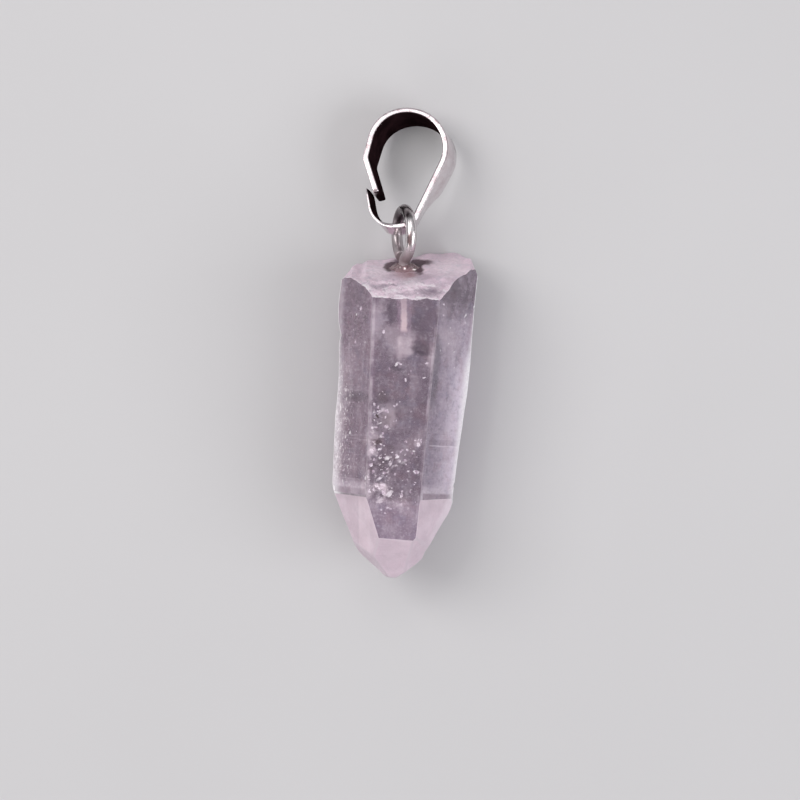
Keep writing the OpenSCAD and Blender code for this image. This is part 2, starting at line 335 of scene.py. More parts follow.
# The crystal is built in its own frame in mm: axis along Y, the broken end at 0, the tip at -27.
quartz = {
    "length": 27.0,
    "lean": 4.5,  # degrees
    "breakCentre": (0.55, 6.57, 5.0),
    "halfWidth": 5.0,
    # azimuth round the axis, taper, distance as a share of the half width
    "prism": [
        (0, 1.0, 1.06), (60, 1.5, 1.0), (120, 1.8, 1.04), (180, 0, 1.0), (-120, 1.1, 0.975),
        (-60, 2.7, 1.09)],
    # azimuth, slope toward the tip, distance beyond the tip's point
    "tip": [
        (-60, 19, 2.0), (-100, 25, 1.6), (95, 23, 2.05), (0, 46, 0.92), (-75, 47, 0.14), (50, 38, 1.57),
        (100, 50, 0.38), (180, 38, -0.2), (-120, 38, 0.9), (120, 38, 0.92), (0, 90, 0)],
    # azimuth, slope, distance: main break, front chip, back, and the chipped side corners
    "broken": [
        (-17.8, -67.9, 0), (-3, -49.4, 1.23), (-79, -79.3, 0.9), (90, -26.7, 5.21), (-90, -33.2, 4.19)],
    "softness": 0.09,  # how rounded the ridges between the broken surfaces are
    # shell-shaped scoops in the break: x, z, half width, half height, depth
    "scoops": [
        (2.1, 3.9, 1.45, 0.95, 0.3), (-1.9, 3.75, 1.0, 0.7, 0.14), (3.9, 1.9, 1.3, 1.5, 0.1),
        (-3.6, 1.2, 1.5, 1.3, 0.09), (-0.4, 4.5, 0.8, 0.5, 0.12), (0.9, -2.2, 1.6, 1.3, 0.08)],
    # how far the rim of the break drops along its width: x, drop
    "rim": [
        (-6.4, 0.3), (-5.7, 0.3), (-5.3, 0.15), (-5.05, -0.08), (-4.3, 0.12), (-3.9, -0.13), (-2.6, 0.0),
        (-1.7, -0.05), (-0.6, 0.06), (0.45, 0.03), (1.45, -0.15), (2.7, 0.05), (3.5, -0.05), (4.0, 0.11),
        (4.5, 0.2), (5.1, 0.06), (5.35, 0.24), (5.7, 0.34), (6.4, 0.36)],
    # relief of the break: heights, and how far all of it is lowered
    "relief": {"shells": 0.26, "chips": 0.07, "swell": 0.08, "crumbs": 0.05, "lowered": 0.05},
    "breakParts": (150, 130),
    "breakSize": (13.6, 11.8),
    # how wide the edges are worn, the tip's below the shoulder line
    "wear": {"left": 0.15, "right": 0.21, "front": 0.03, "back": 0.12,
             "tip": 0.17, "shoulder": 0.09, "window": 0.04},
    "shoulderLine": -20.5,
    # nicks along the edges: x, y, z, radius
    "nicks": [
        (-6.0, -6.1, -0.3, 0.36), (-5.95, -6.9, 0.1, 0.22), (-5.75, -10.4, 0.0, 0.16),
        (5.8, -3.1, -0.2, 0.2), (5.55, -9.7, 0.0, 0.14), (5.25, -18.6, 0.0, 0.22),
        (-3.0, -1.9, 5.4, 0.24), (-2.9, -8.3, 5.3, 0.12), (2.8, -5.9, 5.05, 0.13),
        (2.7, -14.5, 4.95, 0.12), (-5.2, -19.6, 0.2, 0.26), (-3.4, -24.3, 1.9, 0.2),
        (3.3, -24.0, 2.0, 0.22)],
    "holePlace": (-0.08, 6.54, 5.0),
    "holeRadius": 0.62,
    "holeDepth": 5.6,
    "drillPoint": 0.37,  # length of the cone at its bottom
    "frostLine": -19.93,  # the right face is frosted below it
    # half width of the outline along the crystal, and how far each side bows out or in
    "halfWidths": [(-28, 0.5), (-26.6, 0.9), (-24.4, 3.5), (-20, 5.2), (2, 5.95)],
    "bowRight": [
        (-28, 0), (-25.4, -0.1), (-25.0, -0.27), (-24.6, -0.34), (-24.1, -0.3), (-23.2, -0.2),
        (-22.4, -0.11), (-21.9, -0.03), (-21.5, 0.04), (-21.1, 0.11), (-20.6, 0.09), (-19.8, -0.04),
        (-18, 0), (-16.0, 0.03), (-15.0, 0.06), (-13.7, 0.12), (-12.4, 0.15), (-11.5, 0.19),
        (-10.7, 0.23), (-8.5, 0.22), (-7.2, 0.18), (-6.3, 0.12), (-5.0, 0.08), (-2.4, 0.02), (2, 0)],
    "bowLeft": [
        (-28, -0.1), (-25.9, -0.03), (-25.2, 0.07), (-24.6, 0.03), (-24.0, -0.08), (-22.8, -0.05),
        (-21.8, 0.02), (-19.9, 0.05), (-19.3, 0.19), (-18, 0.18), (-13.6, 0.165), (-12.9, 0.13),
        (-12, 0.06), (-10.3, 0), (-8.5, 0.02), (-7.5, 0.07), (-6.9, 0.05), (-6.4, -0.06), (-6.0, 0.04),
        (-5.5, 0.18), (-4.6, 0.25), (-3.8, 0.27), (-2.9, 0.21), (-2.0, 0.13), (-1.0, 0.03), (2, 0)],
    "bowStep": 0.55,  # between the cuts across that let the sides bend
    "bowFromTo": (-0.9, -26.8),  # where these cuts begin and end
    "clearColour": (0.97, 0.89, 0.96),
    "depthColour": (0.7, 0.52, 0.69),
    "depthDensity": 90.0,
    # marks on the broken end, the last where glue has wetted it; the dark marks hold painted shade in the
    # hollow of the front chip and the pale marks painted highlights on its lips:
    # x, y, half width, half height, softness, strength
    "darkMarksAndChipShade": [
        (1.55, -2.25, 1.0, 0.34, 0.7, 0.55), (2.2, -1.95, 0.5, 0.3, 0.7, 0.35),
        (-2.3, -1.92, 0.4, 0.16, 0.7, 0.6), (-1.4, -1.82, 0.42, 0.12, 0.6, 0.55),
        (0.9, -1.0, 1.2, 0.42, 0.8, 0.5), (-1.9, -1.1, 0.8, 0.3, 0.8, 0.25),
        (-0.2, -2.5, 0.6, 0.2, 0.7, 0.3), (1.0, -2.8, 0.4, 0.14, 0.6, 0.5),
        (-0.6, -1.5, 0.6, 0.35, 0.8, 0.3), (3.6, -1.0, 0.6, 0.3, 0.8, 0.25),
        (2.6, -1.5, 0.7, 0.3, 0.8, 0.35), (-3.0, -2.2, 0.5, 0.3, 0.8, 0.3)],
    "paleMarksAndChipHighlights": [
        (1.03, -2.76, 0.45, 0.09, 0.5, 0.8), (1.5, -1.6, 1.0, 0.07, 0.5, 0.55),
        (-3.64, -2.43, 0.2, 0.5, 0.5, 0.6), (-2.47, -3.04, 0.18, 0.14, 0.4, 0.9),
        (-0.86, -2.74, 0.36, 0.09, 0.5, 0.7), (-1.5, -2.35, 0.6, 0.2, 0.6, 0.4),
        (0.2, -1.5, 0.8, 0.5, 0.7, 0.3), (-3.0, -0.6, 1.0, 0.6, 0.8, 0.3), (3.4, 0.2, 1.4, 0.8, 0.8, 0.3)],
    "redMarks": [(-0.6, -0.7, 0.85, 0.42, 0.8, 0.6), (0.1, -0.75, 0.5, 0.25, 0.8, 0.4)],
    "wetMarks": [
        (-1.85, -0.15, 0.55, 0.42, 0.6, 1.1), (-1.35, 0.2, 0.45, 0.45, 0.7, 0.9),
        (0.45, 0.4, 0.55, 0.42, 0.6, 1.1), (1.25, 0.55, 0.65, 0.24, 0.7, 0.8),
        (0.72, -0.28, 0.36, 0.36, 0.7, 1.0), (0.25, 0.05, 0.35, 0.4, 0.7, 0.9)],
    # the ridges beside the front face: x at the break, and its change along the crystal
    "ridges": [(-3.24, -0.0444), (2.715, 0.0202)],
    # steps that run across a side face: height, x from and to, strength
    "growthSteps": [
        (-15.25, 2.9, 5.2, 0.38), (-16.7, 3.3, 4.4, 0.12), (-14.3, 3.6, 5.0, 0.1),
        (-11.0, -5.0, -3.9, 0.1), (-14.9, -5.0, -4.1, 0.08), (-18.6, -4.6, -3.2, 0.12)],
    # areas just under the faces, and stains: x, y, half width, half height, softness, strength
    # the second and third dark areas, beside the hole, are painted dark reflections that flank the peg's
    # painted highlight
    "darkAreasAndReflections": [
        (-3.7, -11.6, 0.9, 0.45, 0.6, 0.45), (-1.42, -3.93, 0.42, 0.85, 0.4, 0.42),
        (1.15, -4.3, 0.95, 1.5, 0.4, 0.25), (1.42, -7.15, 0.75, 0.5, 0.45, 0.5),
        (1.3, -7.5, 0.85, 0.18, 0.5, 0.35), (-0.57, -9.0, 0.42, 0.16, 0.5, 0.55),
        (-5.45, -7.1, 0.18, 0.75, 0.5, 0.5), (-4.4, -2.9, 0.8, 1.0, 0.6, 0.25),
        (-4.6, -12.0, 0.9, 1.6, 0.7, 0.18), (-0.4, -12.3, 1.6, 0.9, 0.7, 0.2),
        (3.9, -1.9, 0.55, 0.45, 0.7, 0.35), (4.85, -2.6, 0.3, 0.9, 0.7, 0.25)],
    "paleAreas": [
        (-2.2, -15.0, 0.5, 0.9, 0.7, 0.4), (-2.1, -16.2, 0.45, 0.4, 0.5, 0.6),
        (-1.2, -19.1, 0.6, 0.3, 0.5, 0.6), (-0.72, -19.7, 0.22, 0.6, 0.5, 0.5),
        (-2.3, -19.5, 0.6, 0.7, 0.7, 0.35), (0.3, -20.4, 0.9, 0.5, 0.7, 0.3),
        (1.7, -15.2, 0.2, 0.3, 0.6, 0.35), (-5.25, -14.0, 0.6, 4.6, 0.8, 0.34),
        (-4.7, -18.3, 1.0, 1.3, 0.8, 0.14), (-0.1, -7.15, 0.72, 0.78, 0.5, 0.6),
        (-0.95, -6.15, 0.8, 0.95, 0.6, 0.33), (0.38, -6.05, 0.4, 0.65, 0.6, 0.3),
        (-2.45, -4.9, 0.5, 1.4, 0.6, 0.3), (-0.95, -13.0, 0.55, 1.0, 0.6, 0.3),
        (2.35, -7.9, 0.28, 1.3, 0.6, 0.35), (1.75, -14.9, 0.6, 1.0, 0.7, 0.1),
        (0.28, -16.3, 0.9, 0.8, 0.7, 0.12), (3.05, -3.6, 0.45, 0.7, 0.8, 0.22),
        (3.2, -5.7, 0.45, 0.8, 0.8, 0.25), (3.9, -6.2, 0.7, 1.5, 0.7, 0.28),
        (-4.6, -8.9, 0.7, 1.4, 0.7, 0.15)],
    # where pale and dark stains mingle
    "stained": [
        (-1.95, -14.6, 0.6, 3.6, 0.6, 0.8), (-1.2, -18.9, 1.3, 1.5, 0.7, 0.8),
        (0.6, -20.2, 1.2, 0.9, 0.8, 0.5), (-5.1, -14.0, 0.7, 4.5, 0.7, 0.45),
        (0.9, -6.9, 0.5, 0.8, 0.8, 0.4), (-4.6, -4.8, 1.0, 3.6, 0.8, 0.4),
        (4.4, -5.2, 1.3, 3.6, 0.8, 0.25), (-1.8, -3.6, 0.8, 1.8, 0.8, 0.3)],
    "dashArea": [
        (-5.0, -13.4, 0.75, 3.6, 0.6, 1.0), (-4.5, -17.6, 0.8, 1.8, 0.6, 0.8),
        (-5.3, -10.2, 0.5, 1.6, 0.6, 0.6)],
    "brownStains": [
        (-1.93, -13.13, 0.13, 0.16, 0.4, 1.0), (-1.54, -11.45, 0.45, 0.5, 0.7, 0.55),
        (-1.15, -13.4, 0.5, 0.45, 0.7, 0.35), (-1.75, -15.35, 0.4, 0.25, 0.6, 0.7),
        (-0.95, -17.0, 0.8, 0.7, 0.8, 0.3), (-0.5, -15.7, 0.3, 0.2, 0.6, 0.4)],
    # where flakes crowd, and their scale, reach, scarcity and strength
    "flakeCrowds": [
        (-1.3, -17.6, 1.5, 3.2, 0.6, 0.75), (0.8, -18.2, 1.4, 2.4, 0.6, 0.38),
        (-1.6, -13.2, 1.0, 2.6, 0.6, 0.45), (-4.7, -14.5, 0.9, 5.5, 0.6, 0.45),
        (1.6, -15.2, 0.7, 1.2, 0.6, 0.35), (0.3, -9.0, 1.9, 1.0, 0.6, 0.2),
        (-0.3, -20.1, 1.5, 0.8, 0.6, 0.35), (4.4, -6.0, 1.1, 4.5, 0.7, 0.22),
        (-4.3, -5.0, 1.2, 3.0, 0.7, 0.2)],
    "flakeSizes": [(2.9, 0.3, 1.0, 0.8), (1.5, 0.4, 1.0, 0.8), (1.05, 0.36, 1.04, 0.65)],
}
slots = {"clear": 0, "frosted": 1, "worn": 2, "broken": 3, "drilled": 4}
toRow = Matrix.Translation(Vector(quartz["breakCentre"])) @ Matrix.Rotation(
    -math.radians(quartz["lean"]), 4, "Z")


def facetPlane(azimuth, slope, reach, origin=(0, 0, 0)):
    a, s = math.radians(azimuth), math.radians(slope)
    normal = Vector((math.sin(a) * math.cos(s), -math.sin(s), math.cos(a) * math.cos(s)))
    return normal, Vector(origin) + normal * reach


def facets():
    tipPoint = (0, -quartz["length"], 0)
    prism = [("prism", a, *facetPlane(a, s, share * quartz["halfWidth"]))
             for a, s, share in quartz["prism"]]
    return prism + [("tip", a, *facetPlane(a, s, r, tipPoint)) for a, s, r in quartz["tip"]]


def facetOf(facing, centre, planes):
    for kind, azimuth, normal, point in planes:
        if facing.dot(normal) > 0.9999 and abs((centre - point).dot(normal)) < 0.004:
            return kind, azimuth
    return None, None


def brokenHeight(x, z):
    heights = []
    for azimuth, slope, reach in quartz["broken"]:
        normal, point = facetPlane(azimuth, slope, reach)
        heights.append((reach - normal.x * x - normal.z * z) / normal.y)
    soft, low = quartz["softness"], min(heights)
    height = low - soft * math.log(sum(math.exp((low - h) / soft) for h in heights))
    for middleX, middleZ, wide, high, depth in quartz["scoops"]:
        d = math.hypot((x - middleX) / wide, (z - middleZ) / high)
        if d < 1:
            height -= depth * (1 - d * d) + 0.012 * math.sin(22 * d)
    height -= along(quartz["rim"], x) * progress(z, 3.2, 1.2)
    relief = quartz["relief"]
    rough = 0.45 + 0.55 * progress(z, 2.4, 3.6)  # the front chip is the roughest
    shells = noise.voronoi(Vector((x * 0.85 + 3, z * 0.85, 1.7)))[0][0]
    chips = noise.voronoi(Vector((x * 2.4, z * 2.4 + 5, 4.2)))[0][0]
    height += relief["shells"] * (shells * shells - 0.3) * rough
    height += relief["chips"] * (chips - 0.4) * rough
    height += relief["swell"] * noise.fractal(Vector((x * 0.55, z * 0.55, 8.3)), 1.0, 2.0, 3)
    height += relief["crumbs"] * rough * noise.fractal(Vector((x * 5.5, z * 5.5, 2.1)), 0.7, 2.0, 3)
    return height - relief["lowered"]


def takeFinishes(piece, finishes, slot):  # one of them for all its faces
    for finish in finishes:
        piece.data.materials.append(finish)
    for face in piece.data.polygons:
        face.material_index = slots[slot]
    return piece


def makeBody(finishes):
    clearSelection()
    bpy.ops.mesh.primitive_cube_add(size=1, location=(0, -12.5, 0), scale=(16, 35, 16))
    body, planes = takeFinishes(namedPiece("quartz_crystal"), finishes, "clear"), facets()
    for kind, azimuth, normal, point in planes:
        editAll()
        bpy.ops.mesh.bisect(plane_co=point, plane_no=normal, use_fill=True, clear_outer=True,
                            threshold=1e-5)
    objectMode()

    wear = quartz["wear"]
    widest = max(wear["right"], wear["tip"])
    shape = bmesh.new()
    shape.from_mesh(body.data)
    weight = shape.edges.layers.float.new("bevel_weight_edge")
    for edge in shape.edges:
        (kindA, a), (kindB, b) = (
            facetOf(f.normal, f.calc_center_median(), planes) for f in edge.link_faces)
        if kindA is None or kindB is None:
            width = 0
        elif "tip" in (kindA, kindB):
            below = max(v.co.y for v in edge.verts) < quartz["shoulderLine"]
            width = wear["tip"] if below else wear["shoulder"]
            width = wear["window"] if "prism" in (kindA, kindB) and 0 in (a, b) else width
        elif {a, b} == {60, 120}:
            width = wear["right"]
        elif {a, b} == {-60, -120}:
            width = wear["left"]
        else:
            width = wear["front"] if 0 in (a, b) else wear["back"]
        edge[weight] = width / widest
    shape.to_mesh(body.data)
    shape.free()
    bevel = body.modifiers.new("wear", "BEVEL")
    bevel.limit_method, bevel.width, bevel.segments = "WEIGHT", widest, 3
    bevel.material, bevel.profile = slots["worn"], 0.55
    applyModifiers(body)
    return body


def makeBreakCutter(finishes):
    clearSelection()
    across, deep = quartz["breakParts"]
    bpy.ops.mesh.primitive_grid_add(x_subdivisions=across, y_subdivisions=deep, size=1, rotation=upright)
    bpy.context.object.scale = (*quartz["breakSize"], 1)
    cutter = namedPiece("breakCutter")
    for vertex in cutter.data.vertices:
        vertex.co.y = brokenHeight(vertex.co.x, vertex.co.z)
    takeFinishes(cutter, finishes, "broken")
    editAll()
    extrude((0, 12, 0))
    closeMesh()
    return cutter


def makeNickCutter(finishes):
    chance = random.Random(5)
    stones = []
    for x, y, z, radius in quartz["nicks"]:
        clearSelection()
        bpy.ops.mesh.primitive_ico_sphere_add(
            subdivisions=3, radius=radius, location=(x, y, z),
            rotation=[chance.uniform(0, 3) for _ in range(3)], scale=(1, 1.5, 0.8))
        stone = takeFinishes(namedPiece("nick"), finishes, "worn")
        for vertex in stone.data.vertices:
            away = vertex.co - Vector((x, y, z))
            vertex.co += away * 0.35 * noise.noise(vertex.co * 3.1)
        stones.append(stone)
    return joined(stones)


def makeDrill(finishes):
    x, y, z = quartz["holePlace"]
    deep = quartz["holeDepth"]
    clearSelection()
    bpy.ops.mesh.primitive_cylinder_add(vertices=48, radius=quartz["holeRadius"], depth=deep + 3,
                                        location=(x, y + 1.5 - deep / 2, z), rotation=upright)
    cutter = takeFinishes(namedPiece("drill"), finishes, "drilled")
    editFaces(cutter, lambda face: face.normal.y < -0.9)
    extrude((0, -quartz["drillPoint"], 0))
    bpy.ops.transform.resize(value=(0.08, 1, 0.08))
    objectMode()
    cutter.data.transform(toRow.inverted())
    return cutter


def frostFacets(body):
    planes, lean = facets(), math.radians(quartz["lean"])
    takeUp(body)
    editFaces(body, lambda face: facetOf(face.normal, face.center, planes) == ("prism", 60))
    bpy.ops.mesh.bisect(plane_co=(3.4, quartz["frostLine"], 3),
                        plane_no=(-math.sin(lean), math.cos(lean), 0))
    objectMode()
    for face in body.data.polygons:
        kind, azimuth = facetOf(face.normal, face.center, planes)
        if kind == "tip" or (kind, azimuth) == ("prism", 60) and face.center.y < quartz["frostLine"]:
            face.material_index = slots["frosted"]


def bowOutline(body):  # the long edges of a natural crystal are never quite straight
    takeUp(body)
    editMode()
    bpy.ops.mesh.select_mode(type="FACE")
    planed = (slots["clear"], slots["frosted"], slots["worn"])
    station, last = quartz["bowFromTo"]
    while station > last:
        shape = bmesh.from_edit_mesh(body.data)
        for face in shape.faces:
            face.select_set(face.material_index in planed)
        bmesh.update_edit_mesh(body.data)
        bpy.ops.mesh.bisect(plane_co=(0, station, 0), plane_no=(0, 1, 0))
        station -= quartz["bowStep"]
    bpy.ops.mesh.select_mode(type="VERT")
    objectMode()
    for vertex in body.data.vertices:
        x, y = vertex.co.x, vertex.co.y
        bow = along(quartz["bowRight"], y) if x > 0 else -along(quartz["bowLeft"], y)
        vertex.co.x += bow * ease(abs(x) / along(quartz["halfWidths"], y), 0.42, 0.97)


def quartzPlace(start):  # mm in the crystal's own frame
    return start.node("ShaderNodeMapping", {},
                      {"Vector": placeOf(start), "Location": toRow.inverted().translation,
                       "Rotation": (0, 0, math.radians(quartz["lean"])), "Scale": (1000, 1000, 1000)})


def clearFinish():  # clear quartz, with a milky haze laid over it in places
    finish, glass, start = newFinish("clearQuartz", Transmission_Weight=1.0, IOR=1.54,
                                     Base_Color=quartz["clearColour"])
    place = quartzPlace(start)
    x, y, _ = place.axes()
    toRight, _, toFront = facingOf(start).axes()
    right, left = rise(toRight, 0.35, 0.7), rise(toRight, -0.35, -0.7)
    front = (1 - right) * (1 - left)
    down = -1 * y  # distance below the break
    astray = wander(place, 1.5, 1.0)
    haze, tone = 0.50 + 0.04 * left, blend(left, (0.33, 0.238, 0.322), (0.415, 0.288, 0.388))

    def film(mask, colour, share=1, milk=0, target=0.9):  # milk moves the haze toward a target
        nonlocal haze, tone
        tone = blend(mask * share, tone, colour)
        if milk:
            haze = lay(haze, mask * milk, target)

    # broad tone of each face, with the right face painted lighter toward its outer edge, a painted light
    # for light that passes through the crystal
    outward = rise(x - 0.02 * y, 2.9, 5.6) * (0.45 + 0.55 * rise(down, 5.0, 11.0))
    film(right, blend(outward, (0.46, 0.355, 0.48), (0.84, 0.72, 0.86)), 1, 1, 0.56 + 0.30 * outward)
    # painted shade: the right face darker near the break
    corner = right * rise(down, 5.2, 2.2) * (0.75 + 0.25 * rise(grain(place, 1.4, 3), 0.4, 0.6))
    film(corner, (0.29, 0.205, 0.285), 1, 1, 0.5)
    film(front * rise(down, 20.0, 20.9), (0.375, 0.28, 0.375), 1, 1, 0.62)
    film((1 - front) * rise(down, 18.4, 19.4), (0.66, 0.56, 0.65), 0.8, 1, 0.85)

    # mottling, from broad clouds to fine grain: pattern, range, share, colour
    broad = grain(stretch(place, (1.0, 0.45, 1.0)), 0.7, 4, 0.6, 0.4)
    even = stretch(place, (1, 1, 0.45))  # so that the grain looks even from above on the side faces
    middling, fine = grain(even, 2.4, 5, 0.65), grain(even, 5, 2, 0.5)
    warm = grain(shift(place, (7, 3, 1)), 0.75, 4, 0.6)
    cool = grain(shift(place, (2, 9, 4)), 0.9, 4, 0.6)
    haze = haze + 0.16 * (broad - 0.45)
    for pattern, low, high, share, colour in (
            (broad, 0.45, 0.75, 0.38, (0.80, 0.68, 0.78)), (broad, 0.48, 0.28, 0.30, (0.17, 0.12, 0.165)),
            (middling, 0.5, 0.72, 0.34, (0.16, 0.112, 0.155)),
            (middling, 0.46, 0.3, 0.30, (0.85, 0.75, 0.85)),
            (warm, 0.48, 0.68, 0.26, (0.45, 0.27, 0.33)), (cool, 0.50, 0.70, 0.28, (0.35, 0.32, 0.46)),
            (fine, 0.54, 0.72, 0.16, (0.13, 0.10, 0.125)), (fine, 0.45, 0.30, 0.20, (0.92, 0.84, 0.92))):
        film(rise(pattern, low, high), colour, share)

    # growth lines across the crystal, and the steps that stand out among them
    patchy = rise(grain(place, 0.8, 4, 0.6), 0.38, 0.6)
    lines = rise(grain(stretch(place, (0.06, 1.0, 0.06)), 3.4, 2, 0.6), 0.46, 0.74)
    sideLines = (1 - front) * band(down, 13.8, 16.2, 0.7)
    film(lines * patchy * (0.10 + 0.16 * sideLines), (0.88, 0.79, 0.88), 1, 1)
    for height, fromX, toX, strength in quartz["growthSteps"]:
        across = band(x, fromX, toX, 0.3) * strength
        step = band(y + 0.12 * grain(place, 0.9, 2), height - 0.02, height + 0.02, 0.06) * across
        # each step: a pale line, a painted highlight on its edge, and just above it a darker band, painted
        # shade
        film(step, (0.93, 0.84, 0.92), 1, 1, 0.95)
        film(band(y, height + 0.10, height + 0.40, 0.15) * across, (0.20, 0.14, 0.19), 0.5)

    # dark and pale areas, then the painted highlights along the ridges beside the front face with a painted
    # shade band by the right one, and the peg's painted highlight where it shows through the front face
    film(marks(astray, quartz["darkAreasAndReflections"]) * (0.7 + 0.6 * middling), (0.115, 0.08, 0.12), 1, 0.5, 0.6)
    film(marks(astray, quartz["paleAreas"]) * (0.7 + 0.6 * fine), (0.80, 0.66, 0.74), 1, 0.8)
    fromLeft, fromRight = (x - atBreak - lean * y for atBreak, lean in quartz["ridges"])
    # painted highlights along the ridges beside the front face
    ridgeHighlight = band(fromLeft, 0.05, 0.18, 0.2) * (0.25 + 0.75 * patchy) * rise(down, 2.6, 3.4)
    film(ridgeHighlight, (0.82, 0.70, 0.78), 0.5, 0.4)
    ridgeHighlight = band(fromRight, -0.16, -0.04, 0.14) * (0.5 * patchy + 0.5 * band(down, 7.2, 12.0, 1.4))
    film(ridgeHighlight, (0.80, 0.70, 0.79), 0.45, 0.4)
    # painted shade: a darker band beside the right ridge
    film(band(fromRight, 0.12, 0.35, 0.32) * band(down, 7.4, 11.0, 2.0), (0.17, 0.15, 0.19), 0.42)
    fromHole = wander(place, 2.2, 0.22).axes()[0] + 0.0787 * y + 0.64
    # painted highlight: a pale pink band where the metal peg's sheen shows through the front face
    hole = band(fromHole, -0.16, 0.14, 0.22) * band(down, 2.6, 5.5, 0.5) * front
    film(hole * (0.55 + 0.45 * rise(down, 3.2, 5.2)), (0.86, 0.66, 0.70), 0.72, 0.7)

    # stains that mingle, short upright dashes under the left face, and brown stains near the left ridge
    mingled, stained = grain(shift(even, (1, 5, 3)), 3.0, 5, 0.7), marks(astray, quartz["stained"])
    milkStain = rise(mingled, 0.53, 0.64) * stained
    film(milkStain, (0.86, 0.74, 0.81), 0.6, 0.5)
    film(rise(mingled, 0.46, 0.36) * stained, (0.13, 0.085, 0.10), 0.55)
    dash = rise(grain(stretch(place, (1.7, 0.7, 1.7)), 2.8, 3, 0.7), 0.56, 0.64)
    film(dash * marks(astray, quartz["dashArea"]), (1.0, 0.92, 0.96), 0.9, 0.9, 0.95)
    brown = marks(wander(place, 3.0, 0.5), quartz["brownStains"])
    film(brown * (0.45 + 0.9 * middling), (0.10, 0.055, 0.06))

    # flakes of three sizes that flash, each with its shadow, crowded in the lower half
    crowd = marks(astray, quartz["flakeCrowds"])
    leaning = place.node("ShaderNodeMapping", {"vector_type": "TEXTURE"},
                         {"Vector": place, "Rotation": (0, 0, -0.8), "Scale": (0.78, 1.3, 1)})
    for scale, largest, scarce, strength in quartz["flakeSizes"]:
        ragged = wander(leaning, 1.3 * scale, 1.2 / scale)
        for flashing in (False, True):
            spot = ragged if flashing else shift(ragged, (-0.17 / scale, 0.30 / scale, 0))
            near = place.node("ShaderNodeTexVoronoi", {}, {"Vector": spot, "Scale": scale})
            luck, size, glow = near.output(1).axes()
            reach = 0.10 + largest * size * size
            chosen = rise(luck, scarce - 0.66 * crowd, scarce + 0.04 - 0.66 * crowd)
            if flashing:
                film(rise(near, reach, 0.35 * reach) * chosen * strength,
                     blend(glow, (0.80, 0.67, 0.77), (1.0, 0.97, 1.0)), 1, 1, 0.95)
            else:
                film(rise(near, 1.25 * reach, 0.4 * reach) * chosen * glow, (0.11, 0.08, 0.105),
                     0.6 * (1 - right))

    # dark band over the shoulder, and the rims: a painted highlight along the outline, brighter on faces
    # turned up
    shoulder = band(y, -20.0, -19.55, 0.22) * (1 - band(x, -2.4, 2.5, 0.05)) * (0.75 + 0.25 * patchy)
    film(shoulder, (0.22, 0.145, 0.195), 0.45 + 0.25 * right)
    rightRimGlow = rise(x - 0.0332 * y, 5.62 - 0.36 * rise(down, 5.0, 9.0), 6.0)
    rightRimGlow = rightRimGlow * rise(down, 0.2, 2.6) * (0.45 + 0.55 * rise(down, 5.0, 9.0))
    leftRimGlow = rise(-1 * x - 0.0381 * y, 5.5 - 0.25 * rise(down, 6.0, 11.0), 6.0)
    leftRimGlow = leftRimGlow * (0.3 + 0.5 * rise(down, 3.0, 11.0)) * (0.7 + 0.3 * patchy)
    upward = 0.25 + 0.75 * rise(toFront, -0.1, 0.3)
    film((rightRimGlow + leftRimGlow) * upward * (0.74 + 0.26 * rise(fine, 0.35, 0.6)), (1.0, 0.96, 1.0), 1, 1, 1.0)

    rough = 0.05 + 0.08 * middling + 0.2 * milkStain
    relief = bump(middling * 0.35 + lines * 0.4 + fine * 0.15, 0.03, 0.8)
    feed(glass, Roughness=rough, Normal=relief)
    layOver(glass, haze, start.node("ShaderNodeBsdfPrincipled", {}, {
        "Base Color": tone, "Roughness": rough + 0.06, "Normal": relief, "IOR": 1.54}))
    feed(start.tree.nodes["Material Output"], Volume=start.node("ShaderNodeVolumeAbsorption", {}, {
        "Color": quartz["depthColour"], "Density": quartz["depthDensity"]}))
    return finish


